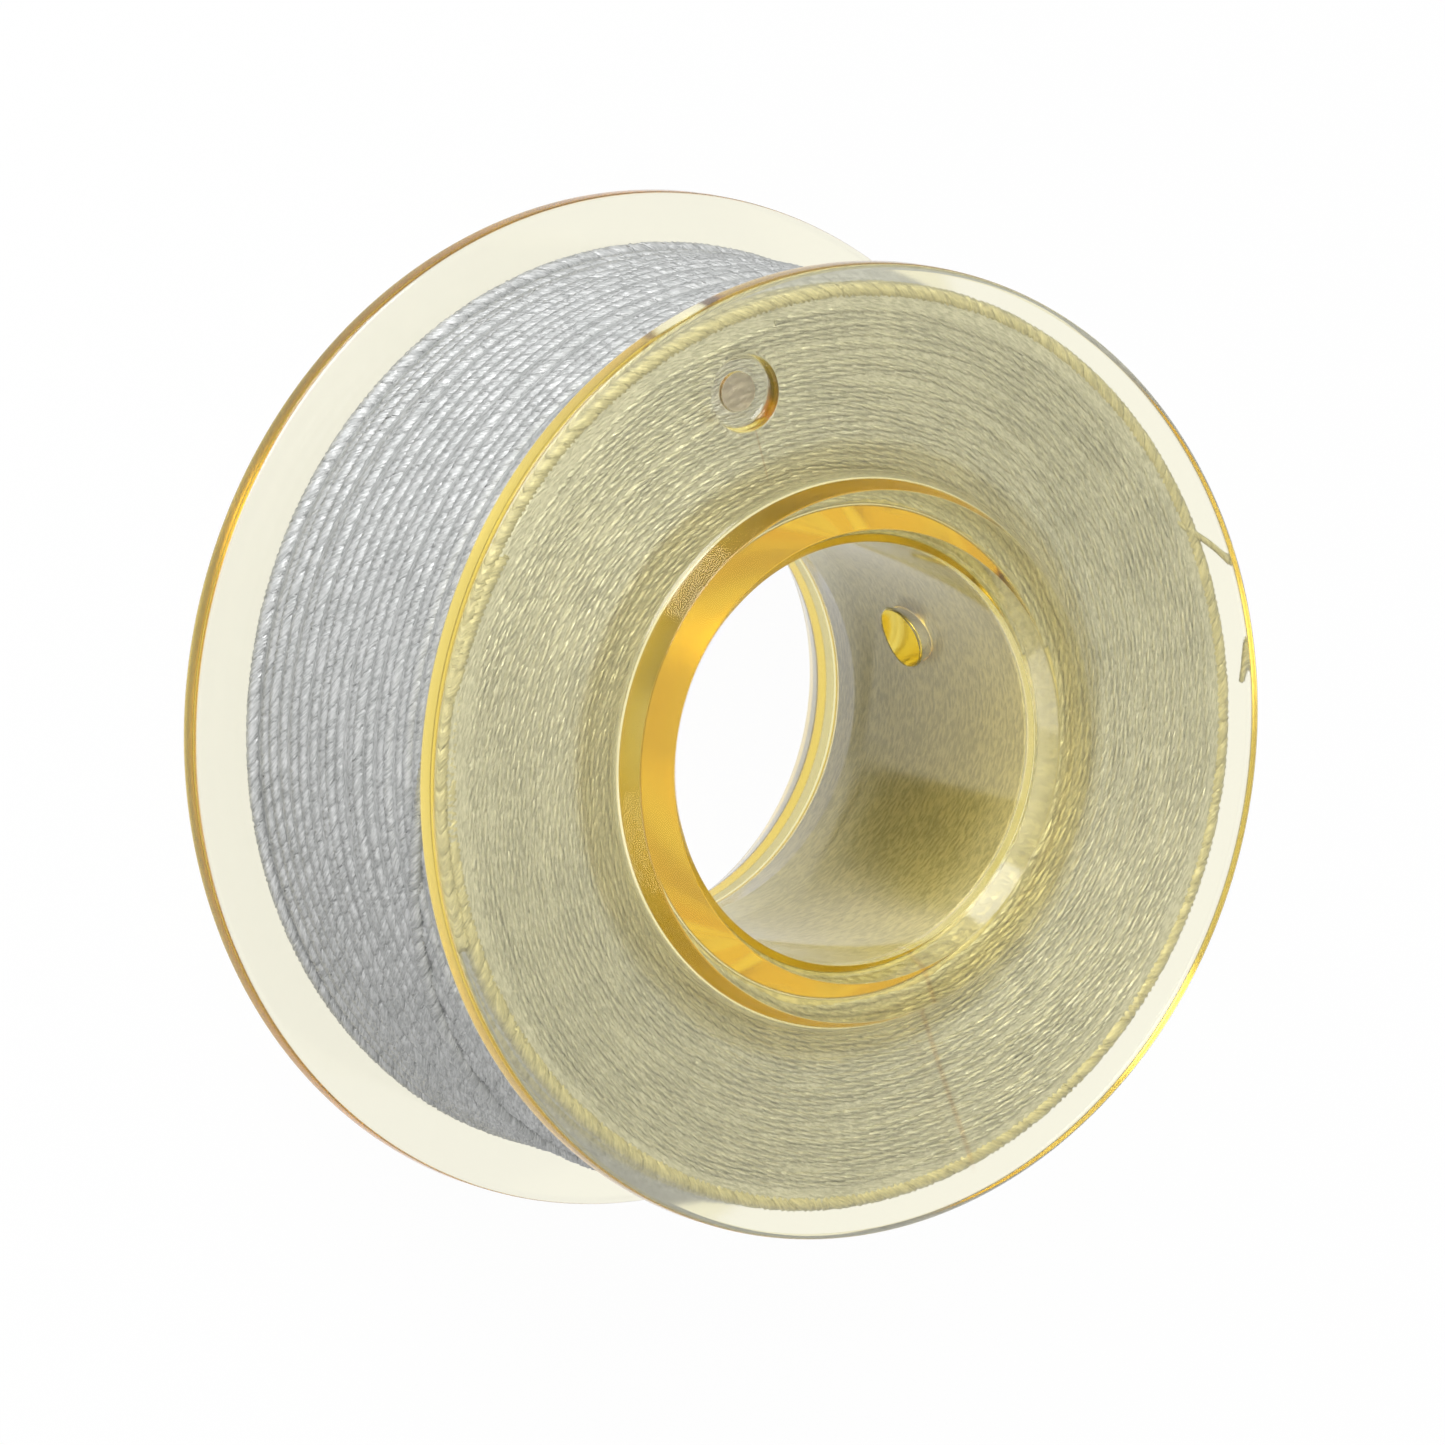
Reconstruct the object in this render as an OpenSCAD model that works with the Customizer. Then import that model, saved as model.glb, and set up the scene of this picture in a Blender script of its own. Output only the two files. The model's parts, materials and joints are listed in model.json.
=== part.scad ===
// Flanged thread bobbin: a one-piece clear moulding, wound full with two-ply thread.
// Millimetres. +Z runs along the bore, from the larger flange to the smaller one.
// The origin is on the bore's axis, at the foot of the lower hub ring, where the bobbin stands.
// +Y passes through the gate mark, and +X through the thread hole in the hub.

/* [Flanges] */
// Diameter of the upper, smaller flange
upper_flange_d = 20.3; // [19:0.1:26]
// Thickness of the upper flange
upper_flange_t = 0.6; // [0.4:0.05:1.2]
// Diameter of the lower, larger flange
lower_flange_d = 21.4; // [20.4:0.1:28]
// Thickness of the lower flange
lower_flange_t = 0.55; // [0.4:0.05:1.2]
// Distance from the outer face of one flange to the outer face of the other
flange_span = 9; // [7.6:0.1:12]
// Radius of both edges of each rim
rim_round = 0.14; // [0.05:0.01:0.19]

/* [Hub] */
// Diameter of the straight part of the bore
bore_d = 8.8; // [6:0.1:10.4]
// Wall of the hub tube, from the bore to the face that the thread lies on
hub_wall = 0.7; // [0.6:0.05:1.8]
// Radius of the fillet between the hub and the upper flange
upper_fillet = 0.1; // [0.05:0.05:0.5]
// Radius of the fillet between the hub and the lower flange
lower_fillet = 0.6; // [0.3:0.05:0.9]

/* [Hub rings] */
// Height of the ring that stands proud of each flange around the bore
ring_h = 0.6; // [0.2:0.05:1.2]
// How far the foot of the upper ring stands out beyond the hub tube
ring_foot_over = 0.65; // [0.5:0.05:1]
// Draft angle of the outside of the upper ring
ring_draft = 20; // [0:1:22]
// How far the foot of the lower ring's cone stands out beyond the hub tube
lower_ring_foot_over = 3.4; // [2.5:0.1:5]
// How far that cone draws in from its foot to the lower ring's flat face
lower_ring_slope_w = 1.55; // [0.3:0.05:1.7]
// Radial width of the flare at the upper mouth of the bore
upper_flare_w = 0.32; // [0.05:0.01:0.6]
// Depth of the upper flare
upper_flare_depth = 0.45; // [0.2:0.05:2]
// Radius of the bore's lower mouth, beyond the bore's own radius
lower_flare_w = 0.75; // [0.4:0.01:0.8]
// Depth of the chamfer at the lower mouth
lower_chamfer_depth = 1.05; // [0.3:0.05:1.3]
// Radius of the plain land past the chamfer, beyond the bore's own radius
lower_land_w = 0.26; // [0.05:0.01:0.35]
// Length of the land
lower_land = 0.85; // [0.2:0.05:1.2]
// Length of the cone that leads from the land to the bore
lower_lead = 1; // [0.3:0.05:1.5]

/* [Thread hole] */
// Diameter of the hole through the hub wall, which takes the start of the thread
thread_hole_d = 1.3; // [0.6:0.1:2]
// Height of the hole's centre above the inner face of the lower flange
thread_hole_rise = 4; // [1.5:0.1:5]

/* [Gate mark] */
// Distance from the rim of the upper flange in to the centre of the gate mark
gate_inset = 2.05; // [1.2:0.05:2.6]
// How far the gate mark's centre lies to the side of the Y axis
gate_aside = 0.2; // [0:0.05:0.3]
// Diameter of the dimple around the gate
gate_dimple_d = 1.6; // [1:0.1:2.2]
// Depth of the dimple
gate_dimple_depth = 0.35; // [0.1:0.01:0.4]
// Diameter of the gate's stub inside the dimple
gate_stub_d = 0.85; // [0.4:0.05:0.95]
// Height of the stub above the dimple's floor
gate_stub_h = 0.08; // [0.02:0.01:0.1]

/* [Thread] */
// Diameter of the thread, over both plies
thread_d = 0.36; // [0.2:0.01:0.5]
// How far the winding stops short of the upper flange's rim
winding_margin = 0.55; // [0.3:0.05:1.2]
// How deep the outer turns bed into the layer below
turn_bedding = 0.04; // [0:0.01:0.1]
// Turns of the outer layer that are drawn, spaced apart along the winding
drawn_turns = 8; // [2:1:8]
// Gap between the inner layers and each flange
winding_clearance = 0.02; // [0.01:0.01:0.1]

/* [Hidden] */

plastic_colour = [0.94, 0.81, 0.42, 0.5];
inner_thread_colour = [0.66, 0.67, 0.66];
outer_thread_colour = [0.76, 0.77, 0.77];

lathe_sides = 180;  // sides of what is turned about the axis
edge_sides = 32;    // sides of the circles that round an edge
hole_sides = 48;    // sides of the small holes and marks
overrun = 0.5;      // how far a cutter passes the face that it opens

bore_r = bore_d / 2;
hub_r = bore_r + hub_wall;
upper_flange_r = upper_flange_d / 2;
lower_flange_r = lower_flange_d / 2;
winding_r = upper_flange_r - winding_margin;

// Heights, from the foot of the lower ring upward
lower_outer_z = ring_h;
lower_inner_z = lower_outer_z + lower_flange_t;
upper_outer_z = lower_outer_z + flange_span;
upper_inner_z = upper_outer_z - upper_flange_t;
top_z = upper_outer_z + ring_h;

ring_foot_r = hub_r + ring_foot_over;
ring_top_r = ring_foot_r - ring_h * tan(ring_draft);
lower_ring_foot_r = hub_r + lower_ring_foot_over;
lower_ring_top_r = lower_ring_foot_r - lower_ring_slope_w;
land_end_z = lower_chamfer_depth + lower_land;
bore_low_z = land_end_z + lower_lead;
gate_offset = upper_flange_r - gate_inset;

// The bobbin's section, right of the axis --------------------------------------------

// A flat disc's half section, standing on z = 0, with both edges of its rim rounded
module flange_section(radius, thickness) {
    square([radius - rim_round, thickness]);
    translate([0, rim_round]) square([radius, thickness - 2 * rim_round]);
    for (edge_z = [rim_round, thickness - rim_round])
        translate([radius - rim_round, edge_z]) circle(r = rim_round, $fn = edge_sides);
}

// A hub ring's half section: it stands on z = 0 and draws in as it rises
module ring_section(foot_r, top_r) {
    polygon([[0, 0], [foot_r, 0], [top_r, ring_h], [0, ring_h]]);
}

// The hollow corner between the hub, at the left, and a flange face at z = 0
module fillet_section(radius) {
    difference() {
        square([hub_r + radius, radius]);
        translate([hub_r + radius, radius]) circle(r = radius, $fn = edge_sides);
    }
}

// The bore's half section: a straight bore that opens out to each mouth, at the lower one
// through a short cone, a plain land and a chamfer
module bore_section() {
    chamfer_w = lower_flare_w - lower_land_w;
    polygon([
        [-overrun, -overrun],
        [bore_r + lower_flare_w + chamfer_w * overrun / lower_chamfer_depth, -overrun],
        [bore_r + lower_land_w, lower_chamfer_depth],
        [bore_r + lower_land_w, land_end_z],
        [bore_r, bore_low_z],
        [bore_r, top_z - upper_flare_depth],
        [bore_r + upper_flare_w * (1 + overrun / upper_flare_depth), top_z + overrun],
        [-overrun, top_z + overrun]
    ]);
}

module bobbin_section() {
    difference() {
        union() {
            translate([0, lower_outer_z]) mirror([0, 1])
                ring_section(lower_ring_foot_r, lower_ring_top_r);
            translate([0, lower_outer_z]) flange_section(lower_flange_r, lower_flange_t);
            translate([0, lower_inner_z]) fillet_section(lower_fillet);
            translate([0, lower_outer_z]) square([hub_r, flange_span]);
            translate([0, upper_inner_z]) mirror([0, 1]) fillet_section(upper_fillet);
            translate([0, upper_inner_z]) flange_section(upper_flange_r, upper_flange_t);
            translate([0, upper_outer_z]) ring_section(ring_foot_r, ring_top_r);
        }
        bore_section();
    }
}

// The bobbin's holes and marks ---------------------------------------------------------

module thread_hole() {
    translate([0, 0, lower_inner_z + thread_hole_rise])
        rotate([0, 90, 0])
            cylinder(d = thread_hole_d, h = hub_r + overrun, $fn = hole_sides);
}

module gate_dimple() {
    translate([gate_aside, gate_offset, upper_outer_z - gate_dimple_depth])
        cylinder(d = gate_dimple_d, h = gate_dimple_depth + overrun, $fn = hole_sides);
}

module gate_stub() {
    translate([gate_aside, gate_offset, upper_outer_z - gate_dimple_depth])
        cylinder(d = gate_stub_d, h = gate_stub_h, $fn = hole_sides);
}

module bobbin() {
    color(plastic_colour) {
        difference() {
            rotate_extrude($fn = lathe_sides) bobbin_section();
            thread_hole();
            gate_dimple();
        }
        gate_stub();
    }
}

// The thread's inner layers: a plain ring that fills the space below the outer layer ----

inner_layers_r = winding_r - thread_d + turn_bedding;
inner_low_z = lower_inner_z + winding_clearance;
inner_high_z = upper_inner_z - winding_clearance;

// It lies tight on the hub, and its two inner corners are cut back from the hub's fillets
module inner_layers_section() {
    polygon([
        [hub_r + lower_fillet, inner_low_z], [inner_layers_r, inner_low_z],
        [inner_layers_r, inner_high_z], [hub_r + upper_fillet, inner_high_z],
        [hub_r, inner_high_z - upper_fillet], [hub_r, inner_low_z + lower_fillet]
    ]);
}

module thread_inner_layers() {
    color(inner_thread_colour) rotate_extrude($fn = lathe_sides) inner_layers_section();
}

// The thread's outer layer: one unbroken tube ------------------------------------------
// It leaves the lower flange square to its face, bends over, winds up round the inner
// layers and bends back to meet the upper flange square.

tube_sides = 6;
rings_per_turn = 24;
bend_steps = 3;
bend_r = thread_d;         // radius of the tube's bend near each flange
tube_r = thread_d / 2;
lay_r = winding_r - tube_r;
low_end_z = lower_inner_z;
high_end_z = upper_inner_z;
end_rise = thread_d + bend_r;
helix_low_z = low_end_z + end_rise;
helix_high_z = high_end_z - end_rise;
turn_degrees = 360 * drawn_turns;
helix_steps = rings_per_turn * drawn_turns;

// Degrees round the lay radius that a length of thread covers
function arc_degrees(length) = length / lay_r * 180 / PI;

// A point of the thread's centre line, from its angle and its height
function lay_point(angle, z) = [lay_r * cos(angle), lay_r * sin(angle), z];

low_end = [for (step = [0:bend_steps])
    let (turn = 90 * step / bend_steps)
    lay_point(-arc_degrees(bend_r * cos(turn)), low_end_z + thread_d + bend_r * sin(turn))];
helix = [for (step = [1:helix_steps - 1])
    let (share = step / helix_steps)
    lay_point(turn_degrees * share, helix_low_z + share * (helix_high_z - helix_low_z))];
high_end = [for (step = [0:bend_steps])
    let (turn = 90 * step / bend_steps)
    lay_point(turn_degrees + arc_degrees(bend_r * sin(turn)),
              high_end_z - thread_d - bend_r * cos(turn))];
thread_line = concat(
    [lay_point(-arc_degrees(bend_r), low_end_z)], low_end,
    helix,
    high_end, [lay_point(turn_degrees + arc_degrees(bend_r), high_end_z)]);

function unit(v) = v / norm(v);
function outward(point) = unit([point.x, point.y, 0]);

// The line's direction at a point: across its neighbours, or square to the flange at an end
function heading(line, i) =
    i == 0 || i == len(line) - 1
        ? [0, 0, 1]
        : unit(unit(line[i + 1] - line[i]) + unit(line[i] - line[i - 1]));

// A ring of the tube: its corners lie square to the line, the first one facing outward
function tube_ring(line, i) =
    let (ahead = heading(line, i),
         out = outward(line[i]),
         side = unit(out - (out * ahead) * ahead))
    [for (corner = [0:tube_sides - 1])
        let (turn = 360 * corner / tube_sides)
        line[i] + tube_r * (cos(turn) * side + sin(turn) * cross(ahead, side))];

module tube_along(line) {
    rings = [for (i = [0:len(line) - 1]) each tube_ring(line, i)];
    last = (len(line) - 1) * tube_sides;
    walls = [for (i = [0:len(line) - 2], corner = [0:tube_sides - 1])
        let (a = i * tube_sides + corner,
             b = i * tube_sides + (corner + 1) % tube_sides)
        each [[a, a + tube_sides, b + tube_sides], [a, b + tube_sides, b]]];
    first_cap = [for (corner = [1:tube_sides - 2]) [0, corner, corner + 1]];
    last_cap = [for (corner = [1:tube_sides - 2]) [last, last + corner + 1, last + corner]];
    polyhedron(points = rings, faces = concat(walls, first_cap, last_cap), convexity = 10);
}

// The tube's least gap to itself: between points at least half a turn apart along it
half_turn = rings_per_turn / 2;
least_gap = min([for (i = [0:len(thread_line) - 1], j = [i + half_turn:len(thread_line) - 1])
    norm(thread_line[i] - thread_line[j])]) - thread_d;
echo(str("thread_outer_layer: least gap between turns ", least_gap, " mm"));

module thread_outer_layer() {
    color(outer_thread_colour) tube_along(thread_line);
}

bobbin();
thread_inner_layers();
thread_outer_layer();
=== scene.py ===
"""A clear flanged bobbin wound full with grey two-ply thread.

The plastic is one closed surface turned about the bore. The outer layer and the coils that show
through each flange are real twisted plies. A sleeve stands for the layer on the hub, and a core
fills the rest of the winding.
"""

import json
import math

import bmesh
import bpy
import numpy as np
from bpy.props import FloatProperty, FloatVectorProperty, IntProperty, PointerProperty
from mathutils import Matrix, Vector


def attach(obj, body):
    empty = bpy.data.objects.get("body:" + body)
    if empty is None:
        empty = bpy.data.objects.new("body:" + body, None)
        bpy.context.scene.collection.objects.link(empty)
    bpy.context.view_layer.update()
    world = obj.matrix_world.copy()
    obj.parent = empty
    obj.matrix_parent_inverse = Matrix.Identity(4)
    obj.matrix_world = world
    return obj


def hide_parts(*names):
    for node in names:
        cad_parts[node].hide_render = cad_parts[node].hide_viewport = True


bl_info = {
    "name": "Wound Bobbin",
    "version": (1, 0, 0),
    "blender": (4, 5, 0),
    "location": "View3D > Sidebar > Bobbin",
    "description": "Makes a clear flanged bobbin and winds it with twisted two-ply thread",
    "category": "Object",
}

MM = 0.001
BODY = "root"

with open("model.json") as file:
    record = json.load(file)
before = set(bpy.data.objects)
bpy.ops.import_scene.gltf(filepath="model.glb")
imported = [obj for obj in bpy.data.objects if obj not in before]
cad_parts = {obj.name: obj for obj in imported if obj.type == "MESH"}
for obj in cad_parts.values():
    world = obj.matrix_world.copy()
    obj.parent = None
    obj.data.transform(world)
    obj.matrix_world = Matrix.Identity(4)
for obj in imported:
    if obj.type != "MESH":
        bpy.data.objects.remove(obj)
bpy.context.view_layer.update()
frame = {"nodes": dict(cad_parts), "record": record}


# What the frame says -------------------------------------------------------------------

def node_radii_and_heights(node):
    """Radius about the bore and height of every vertex of a CAD node."""
    mesh = frame["nodes"][node].data
    points = np.empty(len(mesh.vertices) * 3)
    mesh.vertices.foreach_get("co", points)
    points = points.reshape(-1, 3)
    return np.hypot(points[:, 0], points[:, 1]), points[:, 2]


def mount_radius(name):
    """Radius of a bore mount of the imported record."""
    mount = next(m for m in frame["record"]["mounts"] if m["name"] == name)
    return mount["dims"]["r_mm"] * MM


BOBBIN_RADII, BOBBIN_HEIGHTS = node_radii_and_heights("bobbin")
TOP_Z = float(BOBBIN_HEIGHTS.max())
UPPER_R = float(BOBBIN_RADII[BOBBIN_HEIGHTS > TOP_Z / 2].max())
LOWER_R = float(BOBBIN_RADII[BOBBIN_HEIGHTS < TOP_Z / 2].max())
BORE_R = mount_radius("bore")

OUTER_LAYER_RADII, OUTER_LAYER_HEIGHTS = node_radii_and_heights("thread_outer_layer")
WINDING_R = float(OUTER_LAYER_RADII.max())
LOWER_INNER_Z = float(OUTER_LAYER_HEIGHTS.min())
UPPER_INNER_Z = float(OUTER_LAYER_HEIGHTS.max())
HUB_R = float(node_radii_and_heights("thread_inner_layers")[0].min())


# Sizes and finishes that a user would change --------------------------------------------

def length(name, description, millimetres):
    """A length property, given in millimetres and kept in metres."""
    return FloatProperty(name=name, description=description, default=millimetres * MM,
                         unit="LENGTH", precision=6)


def power(name, description, watts):
    """A lamp's power."""
    return FloatProperty(name=name, description=description, default=watts, unit="POWER", min=0.0)


def roughness(name, description, value):
    """A roughness from 0 to 1."""
    return FloatProperty(name=name, description=description, default=value, min=0.0, max=1.0)


def colour(name, description, rgb):
    """A linear colour."""
    return FloatVectorProperty(name=name, description=description, default=rgb, size=3,
                               subtype="COLOR")


def count(name, description, number):
    """A whole number."""
    return IntProperty(name=name, description=description, default=number, min=3)


class BobbinSizes(bpy.types.PropertyGroup):
    """Sizes of the moulded bobbin that the frame doesn't give."""
    upper_flange_t: length("Upper flange", "Thickness of the smaller flange", 0.6)
    lower_flange_t: length("Lower flange", "Thickness of the larger flange", 0.55)
    rim_round: length("Rim rounding", "Radius of both edges of each rim", 0.14)
    edge_round: length("Edge rounding", "Radius of the small edges of the rings", 0.05)
    ring_top_r: length("Ring top radius", "Outer radius of the upper ring's flat face", 5.54)
    ring_foot_r: length("Ring foot radius", "Outer radius of the upper ring at its flange", 5.76)
    lower_ring_top_r: length("Lower ring top", "Outer radius of the lower ring's flat face", 6.95)
    lower_ring_foot_r: length("Lower ring foot", "Outer radius of the lower ring's cone", 8.5)
    ring_foot_round: length("Ring foot rounding", "Fillet between ring and flange", 0.2)
    upper_mouth_r: length("Upper mouth radius", "Radius of the bore's upper mouth", 4.72)
    upper_flare_depth: length("Upper flare depth", "Depth of the upper mouth's flare", 0.45)
    upper_flare_round: length("Upper flare rounding", "Where the flare meets the bore", 0.1)
    lower_mouth_r: length("Lower mouth radius", "Radius of the bore's lower mouth", 5.15)
    lower_chamfer_depth: length("Lower chamfer", "Depth of the lower mouth's chamfer", 1.05)
    lower_chamfer_round: length("Lower chamfer rounding", "Where the chamfer ends", 0.5)
    lower_land_r: length("Lower land radius", "Radius of the bore past that chamfer", 4.66)
    lower_land_depth: length("Lower land depth", "Depth where that part ends", 1.9)
    lower_land_round: length("Lower land rounding", "Where the lead to the bore starts", 0.6)
    lower_flare_depth: length("Lower flare depth", "Depth where the bore proper starts", 2.9)
    lower_flare_round: length("Lower flare rounding", "Where the bore proper starts", 0.3)
    upper_fillet: length("Upper fillet", "Fillet between the hub and the smaller flange", 0.1)
    lower_fillet: length("Lower fillet", "Fillet between the hub and the larger flange", 0.6)
    thread_hole_r: length("Thread hole radius", "Radius of the hole through the hub wall", 0.65)
    thread_hole_z: length("Thread hole height", "Height of the hole's centre", 5.15)
    gate_inset: length("Gate inset", "Distance from the upper rim in to the gate mark", 2.05)
    gate_aside: length("Gate offset", "How far the gate mark lies to the side of +Y", 0.2)
    gate_dimple_r: length("Gate dimple radius", "Radius of the dimple round the gate", 0.8)
    gate_dimple_depth: length("Gate dimple depth", "Depth of the dimple", 0.35)
    gate_stub_r: length("Gate stub radius", "Radius of the gate's stub", 0.42)
    gate_stub_h: length("Gate stub height", "Height of the stub over the dimple's floor", 0.08)
    sides: count("Sides", "Columns of the turned surface", 480)


class ThreadSizes(bpy.types.PropertyGroup):
    """Sizes of the thread and of its winding."""
    thread_d: length("Thread", "Diameter over both plies", 0.36)
    ply_offset: length("Ply offset", "From the thread's centre to a ply's centre", 0.055)
    ply_thin: length("Ply thinness", "Half width of a ply, toward the thread's centre", 0.125)
    ply_wide: length("Ply width", "Half width of a ply, along the thread's surface", 0.162)
    twist: length("Twist", "Length of one full turn of the plies", 0.86)
    air_gap: length("Air gap", "Gap between the thread and the plastic", 0.03)
    turns: FloatProperty(name="Turns", description="Turns of one layer", default=21.5)
    face_pitch: length("Face pitch", "From one coil against a flange to the next", 0.135)
    face_drift: length("Face drift", "How far a coil strays along the flange", 0.04)
    drift: length("Drift", "How far a turn strays along the bobbin", 0.048)
    sink: length("Sink", "How far a turn strays toward the hub", 0.02)
    rings_per_twist: count("Rings per twist", "Cross-sections of a ply in one twist", 8)
    ply_sides: count("Ply sides", "Sides of a ply", 8)


class Finishes(bpy.types.PropertyGroup):
    """Colours and gloss of the plastic and the thread."""
    plastic_absorption: FloatVectorProperty(
        name="Plastic absorption", description="Light lost per metre of plastic, by colour",
        default=(5.0, 45.0, 325.0), min=0.0)
    plastic_ior: FloatProperty(name="Plastic IOR", description="Index of refraction",
                               default=1.57, min=1.0)
    plastic_roughness: roughness("Plastic roughness", "Fine haze of the moulded faces", 0.1)
    # The dark grey goes where the fibres' bump sinks, so it is partly painted shade in the grooves.
    thread_light: colour("Thread, light", "Colour of the thread's crowns", (0.64, 0.645, 0.635))
    thread_dark: colour("Thread, dark", "Colour of its shaded fibres", (0.42, 0.43, 0.42))
    thread_roughness: roughness("Thread roughness", "Silky gloss", 0.3)


class StageSettings(bpy.types.PropertyGroup):
    """Light, floor and camera."""
    world_light: FloatProperty(name="World light", description="Light from all round",
                               default=0.5, min=0.0)
    key_power: power("Key power", "Power of the soft key lamp", 0.35)
    side_power: power("Side power", "Power of the small side lamp", 0.19)
    fill_power: power("Fill power", "Power of the weak fill lamp", 0.12)
    camera_distance: FloatProperty(name="Camera distance", unit="LENGTH",
                                   description="From the camera to the upper flange",
                                   default=0.4118)
    focal_length: FloatProperty(name="Focal length", unit="CAMERA",
                                description="The camera's focal length", default=498.27)


def settings():
    """The scene's own copy of the sizes, finishes and stage settings."""
    scene = bpy.context.scene
    return scene.bobbin_sizes, scene.thread_sizes, scene.bobbin_finishes, scene.bobbin_stage


# Mesh helpers ---------------------------------------------------------------------------

def put_mesh(name, points, quads, others=(), quad_uvs=None):
    """A mesh of quads and of some faces with other numbers of corners, written as arrays."""
    corner_counts = np.concatenate([np.full(len(quads), 4), [len(face) for face in others]])
    corners = np.concatenate([np.ravel(quads), *others]).astype(np.int32)
    starts = np.concatenate([[0], np.cumsum(corner_counts)[:-1]]).astype(np.int32)
    mesh = bpy.data.meshes.new(name)
    mesh.vertices.add(len(points))
    mesh.vertices.foreach_set("co", np.asarray(points, np.float32).ravel())
    mesh.loops.add(len(corners))
    mesh.loops.foreach_set("vertex_index", corners)
    mesh.polygons.add(len(corner_counts))
    mesh.polygons.foreach_set("loop_start", starts)
    mesh.update(calc_edges=True)
    if quad_uvs is not None:
        layer = mesh.uv_layers.new(name="UVMap")
        uvs = np.zeros((len(corners), 2), np.float32)
        uvs[:quad_uvs.size // 2] = quad_uvs.reshape(-1, 2)
        layer.data.foreach_set("uv", uvs.ravel())
    mesh.validate()
    mesh.shade_smooth()
    return mesh


def put_object(name, data, material=None):
    """Puts a mesh, a lamp or a camera in the scene."""
    thing = bpy.data.objects.new(name, data)
    bpy.context.scene.collection.objects.link(thing)
    if material:
        data.materials.append(material)
    return thing


def put_piece(name, mesh, material, nodes=()):
    """Shows a mesh as a piece of the object, in its material, in place of CAD nodes."""
    piece = put_object(name, mesh, material)
    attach(piece, BODY)
    if nodes:
        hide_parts(*nodes)


def unit(vectors):
    """The vectors of an array, each divided by its length."""
    return vectors / np.linalg.norm(vectors, axis=-1, keepdims=True)


def at_angle(radius, angle, height):
    """Points at a radius and an angle about the bore, and at a height."""
    return np.stack(np.broadcast_arrays(radius * np.cos(angle), radius * np.sin(angle), height), -1)


def turned_points(section, sides):
    """The points of a section of radii and heights, turned about the bore in equal steps."""
    angles = 2 * math.pi * np.arange(sides) / sides
    return at_angle(section[:, :1], angles, section[:, 1:]).reshape(-1, 3)


def quads_from(row, col, rows, sides):
    """Quads of a grid from each point (row, col) to the next row and column. Both wrap round."""
    next_row, next_col = (row + 1) % rows, (col + 1) % sides
    return np.stack([row * sides + col, row * sides + next_col,
                     next_row * sides + next_col, next_row * sides + col], -1)


def grid(rows, sides):
    """The row and the column of every point of a grid, row by row."""
    row, col = np.meshgrid(np.arange(rows), np.arange(sides), indexing="ij")
    return row.ravel(), col.ravel()


def distance_along(line):
    """The distance from a line's start to each of its points."""
    return np.concatenate([[0], np.cumsum(np.linalg.norm(np.diff(line, axis=0), axis=1))])


# The moulded bobbin ---------------------------------------------------------------------

ROUNDING_STEPS = 6      # straight bits in a rounded corner of the section
EDGE_STEPS = 4          # the same in an edge of the thread hole or the gate mark
WINDOW_HALF = 1.0 * MM  # half the height of the patch round the thread hole or the gate mark
WINDOW_ROWS = 20        # rows across such a patch
PATCH_SHARES = (1 / 3, 2 / 3)   # places of a patch's plain rings, from its border inward
HOLE_EDGE = 0.05 * MM   # height and rounding of the thread hole's lips
GATE_EDGE = 0.06 * MM   # rounding of the gate dimple's edge
GATE_BOWL = 0.25 * MM   # rounding round the floor of that dimple
STUB_EDGE = 0.02 * MM   # rounding of the gate stub's foot and top
SHARP_ANGLE = math.radians(30)  # between faces of the moulding that meet in a crisp edge


def rounded_corner(before, corner, after, radius):
    """Points of an arc tangent to both sides of a corner.

    The arc starts radius / tan(half the corner's angle) before the corner, and its centre is
    radius / sin(half) away on the bisector. It takes up less than half of each side.
    """
    to_before = unit(before - corner)
    to_after = unit(after - corner)
    half = math.acos(np.clip(to_before @ to_after, -1, 1)) / 2
    reach = min(radius / math.tan(half), 0.49 * np.linalg.norm(before - corner),
                0.49 * np.linalg.norm(after - corner))
    radius = reach * math.tan(half)
    centre = corner + unit(to_before + to_after) * radius / math.sin(half)
    first = corner + to_before * reach - centre
    last = corner + to_after * reach - centre
    sweep = math.atan2(first[0] * last[1] - first[1] * last[0], first @ last)
    angles = math.atan2(first[1], first[0]) + sweep * np.linspace(0, 1, ROUNDING_STEPS + 1)
    return centre + radius * np.stack([np.cos(angles), np.sin(angles)], -1)


def rounded_section(corners):
    """A closed section with rounded corners, and the row where each corner's arc ends."""
    places = np.array([corner[:2] for corner in corners])
    arcs = [rounded_corner(places[i - 1], places[i], places[(i + 1) % len(places)], corner[2])
            for i, corner in enumerate(corners)]
    ends = np.cumsum([len(arc) for arc in arcs]) - 1
    return np.concatenate(arcs), ends


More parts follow.
